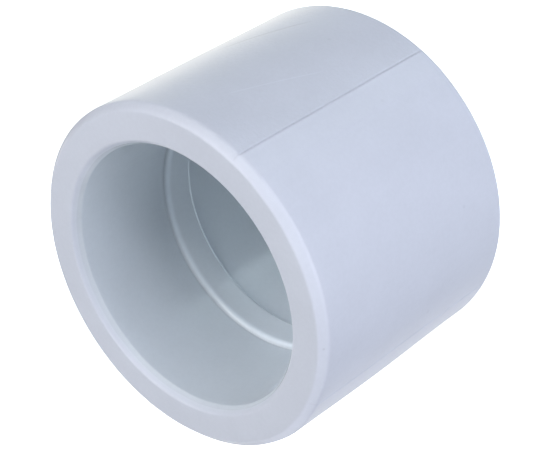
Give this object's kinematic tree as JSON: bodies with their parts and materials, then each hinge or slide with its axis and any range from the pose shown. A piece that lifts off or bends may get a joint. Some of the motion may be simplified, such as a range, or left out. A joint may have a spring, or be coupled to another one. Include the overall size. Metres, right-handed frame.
{
  "type": "pipe socket coupling",
  "caption": "Straight plastic pipe coupling: a plain chamfered cylinder with a fusion socket in each end and a narrow pipe stop ring between them.",
  "frame": {"origin": "centre of the lower end face, the one the fitting stands on", "axes": "+Z along the bore, out of the upper socket; +X 1.4 degrees from one of the four parting lines"},
  "size_m": [0.082, 0.082, 0.064],
  "materials": {
    "white_polypropylene": "semi-matt as moulded, slightly translucent"
  },
  "bodies": {
    "root": {"coupling_body": "white_polypropylene"}
  },
  "joints": []
}
